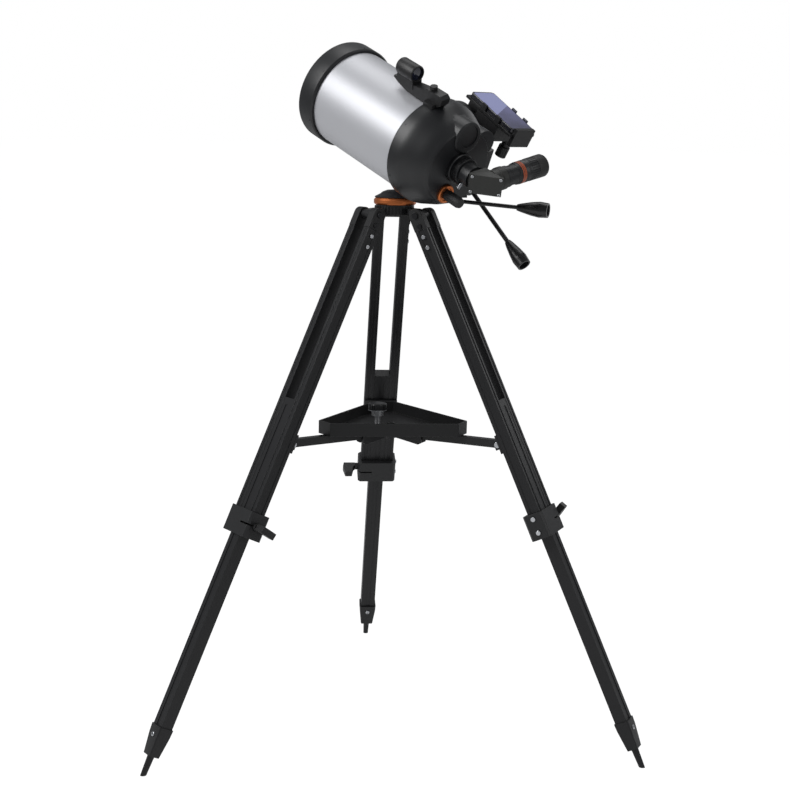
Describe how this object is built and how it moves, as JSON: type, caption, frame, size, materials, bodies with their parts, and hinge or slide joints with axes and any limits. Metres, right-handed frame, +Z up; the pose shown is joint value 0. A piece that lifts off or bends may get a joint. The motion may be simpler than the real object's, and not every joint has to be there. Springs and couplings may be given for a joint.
{
  "type": "schmidt cassegrain telescope",
  "caption": "Compact mirror telescope with a short silver tube, on a one-armed alt-azimuth head with slow-motion rods and a folding twin-rail tripod with tray; phone dock beside the tube.",
  "frame": {"origin": "Middle of the bounding box on the floor the feet stand on.", "axes": "+Z up; +Y is the way the tube points, seen from above; +X is the side of the tube that carries the mount's arm."},
  "size_m": [0.8103, 0.8623, 1.2386],
  "materials": {
    "frame_black": "satin",
    "rail_black": "satin",
    "plastic_black": "matte",
    "cell_black": "satin",
    "tube_silver": "satin",
    "copper": "satin",
    "steel": "polished",
    "rubber": "matte",
    "brass": "satin",
    "mirror": "polished",
    "glass": "polished",
    "phone": "glossy"
  },
  "bodies": {
    "tripod": {"tripod_hub": "frame_black"},
    "leg_rear": {"leg_rails_rear": "rail_black", "leg_fittings_rear": "plastic_black", "leg_clamp_rear": "plastic_black", "leg_bolts_rear": "steel"},
    "inner_rear": {"inner_leg_rear": "rail_black"},
    "lever_rear": {"clamp_lever_rear": "plastic_black"},
    "spreader_rear": {"spreader_arm_rear": "frame_black"},
    "leg_left": {"leg_rails_left": "rail_black", "leg_fittings_left": "plastic_black", "leg_clamp_left": "plastic_black", "leg_bolts_left": "steel"},
    "inner_left": {"inner_leg_left": "rail_black"},
    "lever_left": {"clamp_lever_left": "plastic_black"},
    "spreader_left": {"spreader_arm_left": "frame_black"},
    "leg_right": {"leg_rails_right": "rail_black", "leg_fittings_right": "plastic_black", "leg_clamp_right": "plastic_black", "leg_bolts_right": "steel"},
    "inner_right": {"inner_leg_right": "rail_black"},
    "lever_right": {"clamp_lever_right": "plastic_black"},
    "spreader_right": {"spreader_arm_right": "frame_black"},
    "bracket": {"center_bracket": "frame_black"},
    "tray": {"tray": "plastic_black"},
    "tray_knob": {"tray_knob": "plastic_black"},
    "mount": {"mount_arm": "frame_black", "azimuth_ring": "copper"},
    "azimuth_rod": {"azimuth_control": "frame_black", "azimuth_grip": "rubber"},
    "altitude_rod": {"altitude_control": "frame_black", "altitude_grip": "rubber"},
    "ota": {"altitude_saddle": "frame_black", "dovetail_bar": "rail_black", "tube": "tube_silver", "front_cell": "cell_black", "corrector_plate": "glass", "secondary_mirror": "cell_black", "rear_cell": "cell_black", "baffle_tube": "cell_black", "focuser_bezel": "copper", "visual_back": "cell_black", "finder_bracket": "plastic_black", "finder_tube": "plastic_black", "dock_bracket": "plastic_black"},
    "saddle_knob": {"saddle_knob": "plastic_black"},
    "focus_knob": {"focus_knob": "rubber"},
    "primary": {"primary_mirror": "mirror"},
    "visual_back_screw": {"visual_back_screw": "steel"},
    "diagonal": {"diagonal_body": "plastic_black", "diagonal_mirror": "mirror"},
    "diagonal_screw": {"diagonal_screw": "steel"},
    "eyepiece": {"eyepiece": "cell_black", "eyepiece_band": "copper", "eyecup": "rubber"},
    "finder_knob": {"finder_knob": "plastic_black"},
    "dock": {"dock_platform": "plastic_black", "dock_mirror": "mirror"},
    "dock_clamp": {"dock_clamp": "plastic_black"},
    "dock_knob": {"dock_knob": "rubber"},
    "phone": {"phone": "phone"}
  },
  "joints": [
    {"name": "leg_fold_rear", "type": "hinge", "parent": "tripod", "child": "leg_rear", "pos_m": [0.12504, 0.07786, 0.939], "axis": [-0.7848, 0.6198, 0], "range_deg": [0, 12]},
    {"name": "leg_extend_rear", "type": "slide", "parent": "leg_rear", "child": "inner_rear", "axis": [0.2647, 0.3352, -0.9042], "range_m": [-0.28, 0.15]},
    {"name": "clamp_turn_rear", "type": "hinge", "parent": "leg_rear", "child": "lever_rear", "pos_m": [0.24942, 0.29505, 0.41492], "axis": [-0.7848, 0.6198, 0], "range_deg": [0, 360]},
    {"name": "spreader_fold_rear", "type": "hinge", "parent": "leg_rear", "child": "spreader_rear", "pos_m": [0.2239, 0.20303, 0.5455], "axis": [-0.7848, 0.6198, 0], "range_deg": [0, 44.04]},
    {"name": "leg_fold_left", "type": "hinge", "parent": "tripod", "child": "leg_left", "pos_m": [0.03894, 0.0436, 0.939], "axis": [-0.1444, -0.9895, 0], "range_deg": [0, 12]},
    {"name": "leg_extend_left", "type": "slide", "parent": "leg_left", "child": "inner_left", "axis": [-0.4226, 0.0617, -0.9042], "range_m": [-0.28, 0.15]},
    {"name": "clamp_turn_left", "type": "hinge", "parent": "leg_left", "child": "lever_left", "pos_m": [-0.21134, 0.04272, 0.41492], "axis": [-0.1444, -0.9895, 0], "range_deg": [0, 360]},
    {"name": "spreader_fold_left", "type": "hinge", "parent": "leg_left", "child": "spreader_left", "pos_m": [-0.11889, 0.06662, 0.5455], "axis": [-0.1444, -0.9895, 0], "range_deg": [0, 44.04]},
    {"name": "leg_fold_right", "type": "hinge", "parent": "tripod", "child": "leg_right", "pos_m": [0.11166, -0.01384, 0.939], "axis": [0.9291, 0.3697, 0], "range_deg": [0, 12]},
    {"name": "leg_extend_right", "type": "slide", "parent": "leg_right", "child": "inner_right", "axis": [0.1579, -0.3968, -0.9042], "range_m": [-0.28, 0.15]},
    {"name": "clamp_turn_right", "type": "hinge", "parent": "leg_right", "child": "lever_right", "pos_m": [0.23757, -0.23014, 0.41492], "axis": [0.9291, 0.3697, 0], "range_deg": [0, 360]},
    {"name": "spreader_fold_right", "type": "hinge", "parent": "leg_right", "child": "spreader_right", "pos_m": [0.17064, -0.16203, 0.5455], "axis": [0.9291, 0.3697, 0], "range_deg": [0, 44.04]},
    {"name": "bracket_lift", "type": "slide", "parent": "tripod", "child": "bracket", "axis": [0, 0, 1], "range_m": [0, 0.1177]},
    {"name": "tray_turn", "type": "hinge", "parent": "bracket", "child": "tray", "pos_m": [0.09188, 0.03587, 0.555], "axis": [0, 0, 1], "range_deg": [0, 60.01]},
    {"name": "tray_knob_turn", "type": "hinge", "parent": "tray", "child": "tray_knob", "pos_m": [0.07448, 0.05237, 0.58], "axis": [0, 0, 1], "range_deg": [0, 720]},
    {"name": "azimuth_turn", "type": "hinge", "parent": "tripod", "child": "mount", "pos_m": [0.09188, 0.03587, 0.96], "axis": [0, 0, 1], "continuous": true},
    {"name": "azimuth_rod_turn", "type": "hinge", "parent": "mount", "child": "azimuth_rod", "pos_m": [0.13488, 0.01727, 0.9686], "axis": [0.4491, -0.8912, -0.064], "continuous": true},
    {"name": "altitude_turn", "type": "hinge", "parent": "mount", "child": "ota", "pos_m": [0.22888, 0.03587, 1.09], "axis": [1, 0, 0], "range_deg": [-42, 3]},
    {"name": "altitude_rod_turn", "type": "hinge", "parent": "mount", "child": "altitude_rod", "pos_m": [0.22388, 0.01587, 1.0175], "axis": [0, -0.7322, -0.6811], "range_deg": [-1512, 108]},
    {"name": "saddle_knob_turn", "type": "hinge", "parent": "ota", "child": "saddle_knob", "pos_m": [0.19338, 0.0204, 1.12689], "axis": [0, -0.3867, 0.9222], "range_deg": [0, 720]},
    {"name": "focus_turn", "type": "hinge", "parent": "ota", "child": "focus_knob", "pos_m": [0.07988, -0.11156, 0.97613], "axis": [0, -0.9222, -0.3867], "range_deg": [-1441, 1441]},
    {"name": "mirror_focus", "type": "slide", "parent": "ota", "child": "primary", "axis": [0, -0.9222, -0.3867], "range_m": [-0.004, 0.004]},
    {"name": "visual_back_screw_turn", "type": "hinge", "parent": "ota", "child": "visual_back_screw", "pos_m": [0.08063, -0.13293, 0.99501], "axis": [-0.45, 0.3453, -0.8235], "range_deg": [0, 720]},
    {"name": "diagonal_turn", "type": "hinge", "parent": "ota", "child": "diagonal", "pos_m": [0.09188, -0.14857, 1.01266], "axis": [0, 0.9222, 0.3867], "range_deg": [-190, 0]},
    {"name": "diagonal_screw_turn", "type": "hinge", "parent": "diagonal", "child": "diagonal_screw", "pos_m": [0.12144, -0.19037, 1.03142], "axis": [-0.2504, -0.3744, 0.8928], "range_deg": [0, 720]},
    {"name": "eyepiece_slide", "type": "slide", "parent": "diagonal", "child": "eyepiece", "axis": [0.9681, -0.0968, 0.2309], "range_m": [0, 0.032]},
    {"name": "finder_knob_turn", "type": "hinge", "parent": "ota", "child": "finder_knob", "pos_m": [0.05118, -0.0959, 1.156], "axis": [-0.342, -0.3634, 0.8666], "range_deg": [0, 270]},
    {"name": "dock_knob_turn", "type": "hinge", "parent": "ota", "child": "dock_knob", "pos_m": [0.29388, -0.04323, 1.07026], "axis": [0, 0.5412, -0.8409], "range_deg": [-181, 181]},
    {"name": "dock_slide", "type": "slide", "parent": "ota", "child": "dock", "axis": [1, 0, 0], "range_m": [-0.004, 0.004]},
    {"name": "clamp_open", "type": "slide", "parent": "dock", "child": "dock_clamp", "axis": [1, 0, 0], "range_m": [0, 0.014], "stiffness_N_per_m": 150},
    {"name": "phone_lift", "type": "slide", "parent": "dock", "child": "phone", "axis": [0, -0.5412, 0.8409], "range_m": [0, 0.06]}
  ],
  "couplings": [
    {"joint": "spreader_fold_rear", "follows": "leg_fold_rear", "ratio": 3.6667},
    {"joint": "leg_fold_left", "follows": "leg_fold_rear", "ratio": 1},
    {"joint": "spreader_fold_left", "follows": "leg_fold_rear", "ratio": 3.6667},
    {"joint": "leg_fold_right", "follows": "leg_fold_rear", "ratio": 1},
    {"joint": "spreader_fold_right", "follows": "leg_fold_rear", "ratio": 3.6667},
    {"joint": "bracket_lift", "follows": "leg_fold_rear", "m_per_rad": 0.5615},
    {"joint": "tray_turn", "follows": "leg_fold_rear", "ratio": 5},
    {"joint": "azimuth_rod_turn", "follows": "azimuth_turn", "ratio": 36},
    {"joint": "altitude_rod_turn", "follows": "altitude_turn", "ratio": 36},
    {"joint": "focus_turn", "follows": "mirror_focus", "rad_per_m": 6283.2},
    {"joint": "dock_knob_turn", "follows": "dock_slide", "rad_per_m": 785.4}
  ]
}
